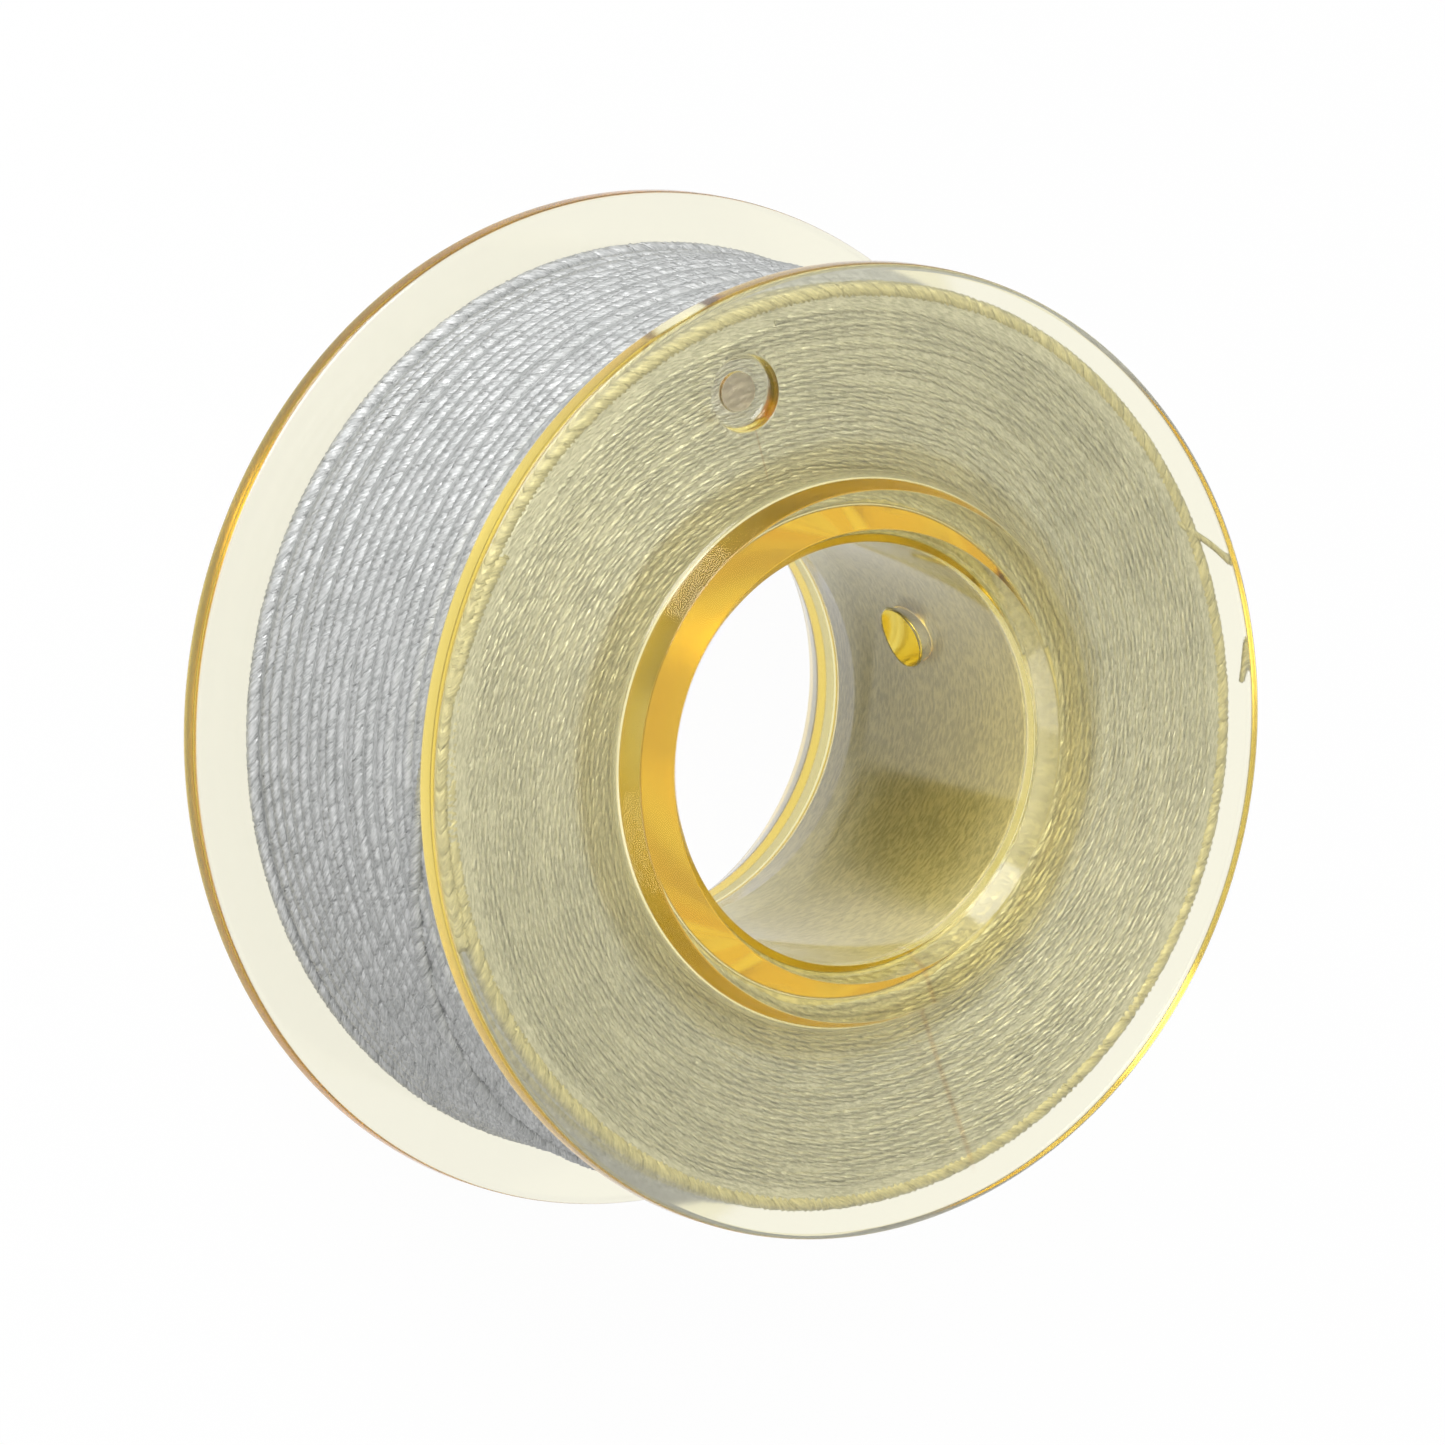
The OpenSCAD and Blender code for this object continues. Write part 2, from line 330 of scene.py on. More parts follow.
def bobbin_section(sizes):
    """Corners of the bobbin's half section, as radius, height and rounding, going outward
    along the upper face, down the winding space, and back up the bore."""
    upper_z = UPPER_INNER_Z + sizes.upper_flange_t
    lower_z = LOWER_INNER_Z - sizes.lower_flange_t
    edge, rim = sizes.edge_round, sizes.rim_round
    return {
        "upper mouth": (sizes.upper_mouth_r, TOP_Z, edge),
        "upper ring": (sizes.ring_top_r, TOP_Z, edge),
        "upper ring foot": (sizes.ring_foot_r, upper_z, sizes.ring_foot_round),
        "upper rim": (UPPER_R, upper_z, rim),
        "upper rim inside": (UPPER_R, UPPER_INNER_Z, rim),
        "hub under upper flange": (HUB_R, UPPER_INNER_Z, sizes.upper_fillet),
        "hub over lower flange": (HUB_R, LOWER_INNER_Z, sizes.lower_fillet),
        "lower rim inside": (LOWER_R, LOWER_INNER_Z, rim),
        "lower rim": (LOWER_R, lower_z, rim),
        "lower ring foot": (sizes.lower_ring_foot_r, lower_z, sizes.ring_foot_round),
        "lower ring": (sizes.lower_ring_top_r, 0.0, edge),
        "lower mouth": (sizes.lower_mouth_r, 0.0, edge),
        "lower chamfer": (sizes.lower_land_r, sizes.lower_chamfer_depth,
                          sizes.lower_chamfer_round),
        "lower land": (sizes.lower_land_r, sizes.lower_land_depth, sizes.lower_land_round),
        "lower flare": (BORE_R, sizes.lower_flare_depth, sizes.lower_flare_round),
        "upper flare": (BORE_R, TOP_Z - sizes.upper_flare_depth, sizes.upper_flare_round),
    }


def add_rows(section, row, values, axis):
    """Adds points to a section's straight stretch after a row, where its radius (axis 0) or its
    height (axis 1) has the given values."""
    start, end = section[row], section[(row + 1) % len(section)]
    shares = np.sort((values - start[axis]) / (end[axis] - start[axis]))
    return np.concatenate([section[:row + 1], start + (end - start) * shares[:, None],
                           section[row + 1:]])


def window_border(first_row, last_row, columns):
    """Rows and columns round a window's edge, as one closed loop."""
    down = np.arange(first_row, last_row)
    across = len(columns) - 1
    rows = np.concatenate([np.full(across, first_row), down,
                           np.full(across, last_row), down[::-1] + 1])
    cols = np.concatenate([columns[:-1], np.full(len(down), columns[-1]),
                           columns[:0:-1], np.full(len(down), columns[0])])
    return rows, cols


class Patchwork:
    """The turned surface, with windows cut out of its grid and filled by patches."""

    def __init__(self, section, sides):
        self.section = section
        self.sides = sides
        self.step = 2 * math.pi / sides
        self.points = turned_points(section, sides)
        self.kept = np.ones((len(section), sides), bool)
        self.quads = []
        self.triangles = []

    def window(self, first_row, last_row, angle, half_angle):
        """Cuts a window out and returns the numbers, angles and section points of its border."""
        middle = round(angle / self.step)
        half = round(half_angle / self.step)
        columns = np.arange(middle - half, middle + half + 1)
        self.kept[first_row:last_row, columns[:-1] % self.sides] = False
        rows, cols = window_border(first_row, last_row, columns)
        return rows * self.sides + cols % self.sides, cols * self.step, self.section[rows]

    def add(self, points):
        """Adds points and returns their numbers."""
        first = len(self.points)
        self.points = np.concatenate([self.points, points])
        return np.arange(first, first + len(points))

    def join(self, ring, next_ring):
        """Quads between two closed rings with the same number of points."""
        self.quads.append(np.stack([ring, next_ring, np.roll(next_ring, -1),
                                    np.roll(ring, -1)], -1))

    def close_in(self, ring, rings):
        """Joins a ring to each of some new rings of points in turn, and returns the last one."""
        for points in rings:
            next_ring = self.add(points)
            self.join(ring, next_ring)
            ring = next_ring
        return ring

    def fan(self, ring, point):
        """Triangles from a closed ring to one new point."""
        centre = self.add(point[None])
        self.triangles.append(np.stack([ring, np.full_like(ring, centre[0]),
                                        np.roll(ring, -1)], -1))

    def grid_quads(self):
        """Quads of the turned surface outside its windows."""
        return quads_from(*np.nonzero(self.kept), *self.kept.shape)[:, [0, 3, 2, 1]]


def quarter_arc(radius, height, rounding, first, last):
    """Radii and heights of a quarter circle round a centre, between two bearings in degrees."""
    bearings = np.radians(np.linspace(first, last, EDGE_STEPS + 1))
    return np.stack([radius + rounding * np.cos(bearings),
                     height + rounding * np.sin(bearings)], -1)


def gate_profile(sizes):
    """Radii and depths of the gate mark, from its edge inward: a dimple with a round edge and a
    bowl round its floor, and a low stub in it."""
    floor = -sizes.gate_dimple_depth
    top = floor + sizes.gate_stub_h
    wall, stub = sizes.gate_dimple_r, sizes.gate_stub_r
    return np.concatenate([
        quarter_arc(wall + GATE_EDGE, -GATE_EDGE, GATE_EDGE, 90, 180),
        quarter_arc(wall - GATE_BOWL, floor + GATE_BOWL, GATE_BOWL, 0, -90),
        quarter_arc(stub + STUB_EDGE, floor + STUB_EDGE, STUB_EDGE, -90, -180),
        quarter_arc(stub - STUB_EDGE, top - STUB_EDGE, STUB_EDGE, 0, 90),
        [[stub / 2, top]],
    ])


def add_gate_mark(patchwork, rows, sizes):
    """Fills the window on the upper flange with rings that close in on the gate mark."""
    gate = np.array([sizes.gate_aside, UPPER_R - sizes.gate_inset,
                     UPPER_INNER_Z + sizes.upper_flange_t])
    border, angles, section = patchwork.window(*rows, math.atan2(gate[1], gate[0]),
                                               WINDOW_HALF / gate[1])
    x, y, _ = (at_angle(section[:, 0], angles, 0.0) - gate).T
    bearings, reach = np.arctan2(y, x), np.hypot(x, y)
    profile = gate_profile(sizes)
    rings = [(reach * (1 - share) + profile[0, 0] * share, 0.0) for share in PATCH_SHARES]
    rings = [gate + at_angle(radius, bearings, height) for radius, height in [*rings, *profile]]
    patchwork.fan(patchwork.close_in(border, rings), gate + [0, 0, profile[-1, 1]])


def add_hole_side(patchwork, rows, wall_r, outward, sizes):
    """Fills the window in the hub's bore or outer wall with rings that close in on the thread
    hole and rise to a low round lip, and returns the last one. outward is 1 on the outer wall
    and -1 in the bore."""
    middle_r = (BORE_R + HUB_R) / 2
    hole_z = sizes.thread_hole_z
    border, angles, section = patchwork.window(*rows, 0.0, WINDOW_HALF / middle_r)
    heights = section[:, 1] - hole_z
    bearings = np.arctan2(heights, middle_r * angles)
    rim = sizes.thread_hole_r + HOLE_EDGE
    rim_angles = np.arcsin(rim * np.cos(bearings) / wall_r)
    rings = [at_angle(wall_r, angles * (1 - share) + rim_angles * share,
                      hole_z + heights * (1 - share) + rim * np.sin(bearings) * share)
             for share in PATCH_SHARES]
    for radius, height in quarter_arc(rim, HOLE_EDGE, HOLE_EDGE, -90, -180):
        y = radius * np.cos(bearings)
        rings.append(np.stack([np.sqrt(wall_r ** 2 - y ** 2) + outward * height, y,
                               hole_z + radius * np.sin(bearings)], -1))
    return patchwork.close_in(border, rings)


def bobbin_mesh(sizes):
    """The bobbin as one closed surface: point (i, j) of its grid is point i of the rounded
    section, turned by j steps about the bore. Windows take the thread hole and gate mark."""
    corners = bobbin_section(sizes)
    section, ends = rounded_section(list(corners.values()))
    row_after = dict(zip(corners, ends))
    across = np.linspace(-WINDOW_HALF, WINDOW_HALF, WINDOW_ROWS + 1)
    windows = {
        "lower flare": (sizes.thread_hole_z + across, 1),
        "hub under upper flange": (sizes.thread_hole_z + across, 1),
        "upper ring foot": (UPPER_R - sizes.gate_inset + across, 0),
    }
    first_rows = {}
    for corner, (values, axis) in windows.items():
        row = row_after[corner]
        section = add_rows(section, row, values, axis)
        first_rows = {name: first + len(values) for name, first in first_rows.items()}
        first_rows[corner] = row + 1
    rows = {name: (first, first + WINDOW_ROWS) for name, first in first_rows.items()}
    patchwork = Patchwork(section, sizes.sides)
    add_gate_mark(patchwork, rows["upper ring foot"], sizes)
    inside = add_hole_side(patchwork, rows["lower flare"], BORE_R, -1, sizes)
    outside = add_hole_side(patchwork, rows["hub under upper flange"], HUB_R, 1, sizes)
    gaps = patchwork.points[inside][:, None, 1:] - patchwork.points[outside][None, :, 1:]
    patchwork.join(inside, outside[(gaps ** 2).sum(-1).argmin(1)])
    quads = np.concatenate([patchwork.grid_quads(), *patchwork.quads])
    mesh = put_mesh("bobbin_moulding", patchwork.points, quads,
                    np.concatenate(patchwork.triangles))
    shell = bmesh.new()
    shell.from_mesh(mesh)
    bmesh.ops.recalc_face_normals(shell, faces=shell.faces)
    if any(not edge.is_manifold for edge in shell.edges):
        raise RuntimeError("the bobbin's surface is not closed")
    shell.to_mesh(mesh)
    shell.free()
    mesh.set_sharp_from_angle(angle=SHARP_ANGLE)
    return mesh


# The thread -----------------------------------------------------------------------------

PLY_GIRTH = 0.92        # mm round a ply, in one unit of u
TWIST_LENGTH = 0.86     # mm along a ply, in one unit of v
TURN_KNOTS = 9          # places in a turn of a layer where it changes its course
FACE_KNOTS = 40         # the same in a coil against a flange
BOTH_PLIES = (0.0, math.pi)     # where the two plies start, as an angle round the thread
TWIST_SPAN = 40         # cross-sections in which the twist changes its course nine times
TWIST_DRIFT = 0.5       # radians that the twist strays from even
END_DWELL = 1.0         # turns that a layer lies against each flange before it goes on
FACE_END = 1.25         # from the winding's crowns in to the last face coil, in thread widths
CORE_DEPTH = 0.28       # from the outer layer's crowns in to the core, in thread widths
FACE_DEPTH = 0.2        # from a flange's air gap in to the core, in thread widths
HUB_DEPTH = 0.25        # from the hub's air gap out to the core, in thread widths
CORE_ROUND = 0.25       # rounding of the core's edges, in thread widths
SLEEVE_ROUND = 0.05 * MM    # rounding of the sleeve's edges
RING_SIDES = 240        # columns of a plain ring of thread
PATH_STEPS = 400        # points of a line that is eased through a few places
PATH_EASE = 30          # of those points on each side that each one is averaged with
PATH_RINGS = 8          # least cross-sections of such a line


def smooth_drift(turns, per_turn, amplitude, seed, knots_per_turn=TURN_KNOTS):
    """A smooth random value for each step of a winding: random numbers at the knots of a turn,
    joined by straight lines and then averaged over the width of a knot."""
    rng = np.random.default_rng(seed)
    steps = int(round(turns * per_turn)) + 1
    knots = rng.normal(0, amplitude, int(turns * knots_per_turn) + 3)
    places = np.linspace(0, turns * knots_per_turn, steps)
    values = np.interp(places, np.arange(len(knots)), knots)
    width = int(max(3, per_turn // knots_per_turn))
    window = np.hanning(width + 2)[1:-1]
    padded = np.pad(values, (width // 2, width - 1 - width // 2), mode="edge")
    return np.convolve(padded, window / window.sum(), "valid")


class Strand:
    """Shape of twisted plies: from the thread's centre to a ply's centre, half a ply's
    thickness and half its width, the length of one twist, cross-sections in one twist, and
    sides of a ply."""

    def __init__(self, offset, thin, wide, twist, rings, sides):
        self.offset, self.thin, self.wide, self.twist = offset, thin, wide, twist
        self.rings, self.sides = rings, sides

    def steps_per_turn(self, radius):
        """Steps of a winding's centre line in one turn."""
        return int(round(2 * math.pi * radius / self.twist * self.rings))


def whole_thread(sizes, scale=1.0):
    """The thread's own shape, or a share of it."""
    return Strand(sizes.ply_offset * scale, sizes.ply_thin * scale, sizes.ply_wide * scale,
                  sizes.twist * scale, sizes.rings_per_twist, sizes.ply_sides)


def edge_on_thread():
    """The thread pressed flat and seen from its edge."""
    return Strand(offset=0.028 * MM, thin=0.047 * MM, wide=0.055 * MM, twist=0.9 * MM,
                  rings=9, sides=6)


def square_to(vectors, directions):
    """Unit vectors along the part of each vector that is square to a unit direction."""
    return unit(vectors - (vectors * directions).sum(-1, keepdims=True) * directions)


def ply_tube(name, line, out, strand, phases):
    """Twisted plies round a thread's centre line, as closed tubes.

    A ply's centre is line + offset * (cos w * out + sin w * across), where w grows by one turn
    per twist length and across is square to the line and to out. Its section is an ellipse:
    thin toward the thread's centre and wide along its surface.
    """
    tangents = unit(np.gradient(line, axis=0))
    out = square_to(out, tangents)
    across = np.cross(tangents, out)
    along = distance_along(line)
    rings, sides = len(line), strand.sides
    turn = (2 * math.pi * np.arange(sides) / sides + math.pi)[:, None]
    loose = smooth_drift(rings / TWIST_SPAN, TWIST_SPAN, TWIST_DRIFT, rings)
    loose = np.interp(np.linspace(0, 1, rings), np.linspace(0, 1, len(loose)), loose)
    row, col = grid(rings - 1, sides)
    girth = math.pi * (strand.thin + strand.wide) / (PLY_GIRTH * MM)
    u = np.stack([col, col + 1, col + 1, col], -1) * girth / sides
    v = along[np.stack([row, row, row + 1, row + 1], -1)] / (TWIST_LENGTH * MM)
    points, quads, uvs, caps = [], [], [], []
    for number, phase in enumerate(phases):
        twist = (2 * math.pi * along / strand.twist + loose + phase)[:, None]
        radial = np.cos(twist) * out + np.sin(twist) * across
        centres = line + strand.offset * radial
        ahead = unit(np.gradient(centres, axis=0))
        thin = square_to(radial, ahead)
        wide = np.cross(ahead, thin)
        points.append((centres[:, None] + strand.thin * np.cos(turn) * thin[:, None]
                       + strand.wide * np.sin(turn) * wide[:, None]).reshape(-1, 3))
        base = number * rings * sides
        quads.append(base + quads_from(row, col, rings, sides))
        uvs.append(np.stack([u + number, v], -1))
        caps.append(base + np.arange(sides)[::-1])
        caps.append(base + (rings - 1) * sides + np.arange(sides))
    return put_mesh(name, np.concatenate(points), np.concatenate(quads), caps,
                    np.concatenate(uvs))


def put_plies(name, line, out, strand, material, nodes=(), phases=BOTH_PLIES):
    """Winds plies along a line and shows them as a piece."""
    put_piece(name, ply_tube(name, line, out, strand, phases), material, nodes)


def layer_line(radius, sizes, seed):
    """Centre line of one wound layer: a helix that climbs one pitch a turn, with a smooth
    drift in height and radius. Where turns crowd, the line rides up by half the overlap."""
    per_turn = whole_thread(sizes).steps_per_turn(radius)
    turns = sizes.turns
    margin = sizes.thread_d / 2 + sizes.air_gap
    low, high = LOWER_INNER_Z + margin, UPPER_INNER_Z - margin
    drift = smooth_drift(turns, per_turn, sizes.drift, seed)
    angle = np.linspace(0, 2 * math.pi * turns, len(drift))
    dwell = END_DWELL / turns
    z = low + (high - low) * (angle / angle[-1] * (1 + 2 * dwell) - dwell)
    z = np.clip(z, low, high) + drift
    gap = np.full_like(z, sizes.thread_d)
    gap[per_turn:] = z[per_turn:] - z[:-per_turn]
    ride = np.clip(sizes.thread_d - gap, 0, None) / 2
    r = radius + ride - np.abs(smooth_drift(turns, per_turn, sizes.sink, seed + 1))
    return at_angle(r, angle, np.clip(z, low, high))


def radial(line):
    """Unit vectors from the bore's axis to each point of a line."""
    return unit(line * [1, 1, 0])


def face_line(face_z, facing, fillet, sizes, seed):
    """Centre line of the coils that lie against a flange, and its direction out to the plastic.

    The line is a flat spiral: turn by turn it goes up the fillet's arc from the hub and then
    out along the flange, and drifts a little. facing is 1 under the upper flange.
    """
    strand = edge_on_thread()
    margin = sizes.air_gap + strand.offset + strand.thin
    fillet = max(fillet, margin)
    arc_r = fillet - margin
    arc = arc_r * math.pi / 2
    outer = WINDING_R - sizes.thread_d * FACE_END
    reach = arc + outer - HUB_R - fillet
    turns = reach / sizes.face_pitch
    per_turn = strand.steps_per_turn((HUB_R + outer) / 2)
    away = np.abs(smooth_drift(turns, per_turn, sizes.drift / 2, seed, FACE_KNOTS))
    angle = np.linspace(0, 2 * math.pi * turns, len(away))
    gone = reach * angle / angle[-1]
    gone = gone + smooth_drift(turns, per_turn, sizes.face_drift, seed + 1, FACE_KNOTS)
    gone = np.clip(gone, 0, reach)
    slope = np.clip(gone / max(arc_r, 1e-9), 0, math.pi / 2)
    r = HUB_R + fillet + (away - arc_r) * np.cos(slope) + np.clip(gone - arc, 0, None)
    depth = fillet + (away - arc_r) * np.sin(slope)
    return (at_angle(r, angle, face_z - facing * depth),
            at_angle(-np.cos(slope), angle, facing * np.sin(slope)))


def ring_mesh(name, inside, outside, low, high, roundings):
    """A plain closed ring with u across the thread and v along it. The roundings are those of
    its inner low, outer low, outer high and inner high edge."""
    edges = ((inside, low), (outside, low), (outside, high), (inside, high))
    section, _ = rounded_section([(*edge, rounding) for edge, rounding in zip(edges, roundings)])
    row, col = grid(len(section), RING_SIDES)
    steps = np.linalg.norm(np.roll(section, -1, 0) - section, axis=1)
    across = np.concatenate([[0], np.cumsum(steps)]) / (PLY_GIRTH * MM)
    step = 2 * math.pi * outside / RING_SIDES / (TWIST_LENGTH * MM)
    u = across[np.stack([row, row, row + 1, row + 1], -1)]
    v = np.stack([col, col + 1, col + 1, col], -1) * step
    return put_mesh(name, turned_points(section, RING_SIDES),
                    quads_from(row, col, len(section), RING_SIDES), (), np.stack([u, v], -1))


def core_mesh(name, bobbin, sizes):
    """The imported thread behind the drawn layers, which follows the fillets at the hub."""
    rounding = sizes.thread_d * CORE_ROUND
    gap = sizes.air_gap + sizes.thread_d * FACE_DEPTH
    return ring_mesh(name, HUB_R + sizes.air_gap + sizes.thread_d * HUB_DEPTH,
                     WINDING_R - sizes.thread_d * CORE_DEPTH,
                     LOWER_INNER_Z + gap, UPPER_INNER_Z - gap,
                     (max(rounding, bobbin.lower_fillet - gap), rounding, rounding,
                      max(rounding, bobbin.upper_fillet - gap)))


def sleeve_mesh(name, bobbin, sizes):
    """The first layer on the hub, pressed flat against it: a thin sleeve between the fillets."""
    inside = HUB_R + sizes.air_gap
    return ring_mesh(name, inside, inside + sizes.thread_d / 2,
                     LOWER_INNER_Z + bobbin.lower_fillet - SLEEVE_ROUND,
                     UPPER_INNER_Z - bobbin.upper_fillet, [SLEEVE_ROUND] * 4)


def eased_path(angles, radii, heights, step):
    """A smooth line through a few points given by angle, radius and height: each coordinate is
    eased from point to point, then the line is averaged over a short stretch."""
    shares = np.linspace(0, len(angles) - 1, PATH_STEPS)
    window = np.hanning(2 * PATH_EASE + 1)
    window /= window.sum()
    angle, radius, height = (
        np.convolve(np.pad(np.interp(shares, np.arange(len(angles)), values), PATH_EASE,
                           mode="reflect", reflect_type="odd"), window, "valid")
        for values in (angles, radii, heights))
    line = at_angle(radius, angle, height)
    along = distance_along(line)
    places = np.linspace(0, along[-1], max(PATH_RINGS, int(along[-1] / step)))
    return np.stack([np.interp(places, along, line[:, i]) for i in range(3)], -1)


# Materials ------------------------------------------------------------------------------

WHITE = (1.0, 1.0, 1.0)
FIBRE_SLANT = math.radians(10)      # of the tufts, from the ply's length toward the thread's

# A span runs from one place to another, with ends of some softness, all in mm.
KNIT_X, KNIT_Y = (-0.24, -0.12, 0.05), (-9.35, -4.4, 0.3)
WITNESS_X, WITNESS_Y = (-0.37, -0.33, 0.02), (6.2, 7.4, 0.2)
MARKS_Z = (UPPER_INNER_Z / MM + 0.3, TOP_Z / MM + 0.3, 0.05)     # of all marks
# Heights, in mm, of the painted yellow shade just under the upper flange
PAINTED_FLANGE_SHADE_Z = (UPPER_INNER_Z / MM - 0.8, TOP_Z / MM, 0.15)
# Radii, in mm, of the painted shade close to the hub
PAINTED_HUB_SHADE_R = (5.4, 6.4, 0.2)
SCAR_SOFTNESS = 0.05        # mm, of the scar's edge
MARK_WAVER = 0.2 * MM       # that both lines stray to +X
WITNESS_SLANT = 0.08        # of the witness line, off the Y axis
MARK_STRENGTHS = (0.6, 0.6, 0.5)    # of the knit line, the witness line and the scar
CLEAR_TINT, STAINED_TINT = (0.95, 0.95, 0.945), (0.62, 0.36, 0.2)
SHADOW_TINT = (0.86, 0.84, 0.72)    # of the lamps' light that passes straight through
DENSITY_MARGIN = 1.03       # of the density over the most absorbed colour's
SCAR_ROUGHNESS = 0.35
MOULD_RELIEF = 0.02 * MM
RIPPLE_RELIEF, KNIT_RELIEF, SCAR_RELIEF = 0.05, 0.4, 2.0    # in parts of MOULD_RELIEF
WAVER_SCALE, RIPPLE_SCALE, TORN_SCALE, PATCH_SCALE = 350.0, 400.0, 4000.0, 1100.0  # per metre
FIBRE_SHARE = 0.82          # of a thread's light and dark that is fibres, and not patches
FIBRE_ROUGHNESS, FIBRE_DISTORTION = 0.55, 0.4
SHINY_FIBRES = (0.4, 0.62)  # of the fibres' noise: where the gloss starts, and where it is full
DULL_ROUGHNESS = 0.45
THREAD_SPECULAR = 0.8


class Tree:
    """Short calls for building a node tree."""

    def __init__(self, block):
        block.use_nodes = True
        self.tree = block.node_tree
        self.tree.nodes.clear()

    def node(self, kind, sockets=(), **settings):
        """A node with its settings; a socket's value is given by its name or number."""
        node = self.tree.nodes.new("ShaderNode" + kind)
        for key, value in settings.items():
            setattr(node, key, value)
        for key, value in dict(sockets).items():
            if isinstance(value, bpy.types.NodeSocket):
                self.tree.links.new(value, node.inputs[key])
            else:
                node.inputs[key].default_value = value
        return node

    def maths(self, operation, *values):
        """A maths node's result."""
        return self.node("Math", dict(enumerate(values)), operation=operation).outputs[0]

    def product(self, first, *others):
        """All the values multiplied, in turn."""
        for other in others:
            first = self.maths("MULTIPLY", first, other)
        return first

    def distance(self, x, y):
        """The distance of (x, y) from (0, 0)."""
        return self.maths("SQRT", self.maths("ADD", self.product(x, x), self.product(y, y)))

    def ramp(self, value, low, high, first=0.0, last=1.0, **settings):
        """A value's place between low and high, as a number between first and last."""
        return self.node("MapRange", {"Value": value, "From Min": low, "From Max": high,
                                      "To Min": first, "To Max": last}, **settings).outputs[0]

    def under(self, value, edge, soft, *, below=1.0):
        """below, 1 or 0, where a value is under an edge, and the other of the two over it, with
        a soft step, all in mm."""
        return self.ramp(value, (edge - soft) * MM, (edge + soft) * MM, below, 1.0 - below,
                         interpolation_type="SMOOTHSTEP")

    def span(self, value, low, high, soft):
        """1 where a value is between two others and 0 outside, with soft ends, all in mm."""
        return self.product(self.under(value, low, soft, below=0.0),
                            self.under(value, high, soft))

    def noise(self, place, scale, detail, **sockets):
        """A noise from 0 to 1 over a place, with features of about 1 / scale."""
        return self.node("TexNoise", {"Vector": place, "Scale": scale, "Detail": detail,
                                      **sockets}).outputs["Fac"]

    def parts(self, vector):
        """The x, y and z of a vector."""
        return list(self.node("SeparateXYZ", {"Vector": vector}).outputs)

    def blend(self, share, first, second, **settings):
        """The first colour, with a share of the second mixed in."""
        mix = self.node("Mix", {"Factor": share, "A": first, "B": second}, data_type="RGBA",
                        **settings)
        return next(o for o in mix.outputs if o.type == "RGBA")

    def bump(self, distance, height):
        """A normal that stands for a relief of some distance times a height."""
        return self.node("Bump", {"Strength": 1.0, "Distance": distance,
                                  "Height": height}).outputs["Normal"]

    def surface(self, share, first, second):
        """One surface, with a share of a second one mixed in."""
        return self.node("MixShader", {0: share, 1: first.outputs[0], 2: second.outputs[0]})

    def finish(self, kind="Material", **shaders):
        """The tree's output."""
        self.node("Output" + kind, {name: shader.outputs[0] for name, shader in shaders.items()})


def opaque(colour):
    """A colour with its alpha."""
    return (*colour, 1.0)


def material_once(name, make, **looks):
    """A material by its name, made the first time that it is asked for."""
    found = bpy.data.materials.get(name)
    if found:
        return found
    material = bpy.data.materials.new(name)
    make(Tree(material), settings()[2], **looks)
    return material


def moulding_marks(tree, place):
    """Where the moulding is marked: the knit line and the witness line, both on the upper
    flange and along its Y axis, and the torn gate's scar."""
    sizes = settings()[0]
    waver = tree.noise(place, WAVER_SCALE, 1.0)
    x, y, z = tree.parts(place)
    strayed = tree.maths("ADD", x, tree.product(waver, MARK_WAVER))
    slanted = tree.maths("SUBTRACT", strayed, tree.product(y, WITNESS_SLANT))
    near_top = tree.span(z, *MARKS_Z)
    away = tree.distance(tree.maths("SUBTRACT", x, sizes.gate_aside),
                         tree.maths("SUBTRACT", y, UPPER_R - sizes.gate_inset))
    return (tree.product(tree.span(strayed, *KNIT_X), tree.span(y, *KNIT_Y), near_top),
            tree.product(tree.span(slanted, *WITNESS_X), tree.span(y, *WITNESS_Y), near_top),
            tree.product(tree.under(away, sizes.gate_stub_r / MM, SCAR_SOFTNESS), near_top))


def clear_plastic(tree, finishes):
    """Straw-yellow clear plastic: smooth glass that absorbs blue, with a fine haze. A little
    of the lamps' light passes straight through it, so that its shadow is pale."""
    place = tree.node("TexCoord").outputs["Object"]
    marks = moulding_marks(tree, place)
    knit, _, scar = marks
    stains = [tree.product(mark, strength) for mark, strength in zip(marks, MARK_STRENGTHS)]
    stained = tree.maths("MAXIMUM", stains[0], tree.maths("MAXIMUM", *stains[1:]))
    ripple = tree.product(tree.noise(place, RIPPLE_SCALE, 1.0), RIPPLE_RELIEF)
    torn = tree.product(tree.noise(place, TORN_SCALE, 2.0), scar, SCAR_RELIEF)
    groove = tree.product(knit, KNIT_RELIEF)
    relief = tree.maths("ADD", ripple, tree.maths("SUBTRACT", torn, groove))
    glass = tree.node("BsdfPrincipled", {
        "Base Color": tree.blend(stained, opaque(CLEAR_TINT), opaque(STAINED_TINT)),
        "Roughness": tree.ramp(scar, 0.0, 1.0, finishes.plastic_roughness, SCAR_ROUGHNESS),
        "IOR": finishes.plastic_ior, "Transmission Weight": 1.0,
        "Normal": tree.bump(MOULD_RELIEF, relief)})
    lets_light = tree.node("BsdfTransparent", {"Color": opaque(SHADOW_TINT)})
    in_shadow = tree.node("LightPath").outputs["Is Shadow Ray"]
    absorbed = np.array(finishes.plastic_absorption)
    density = float(absorbed.max() * DENSITY_MARGIN)
    volume = tree.node("VolumeAbsorption", {"Color": opaque(1 - absorbed / density),
                                            "Density": density})
    tree.finish(Surface=tree.surface(in_shadow, glass, lets_light), Volume=volume)


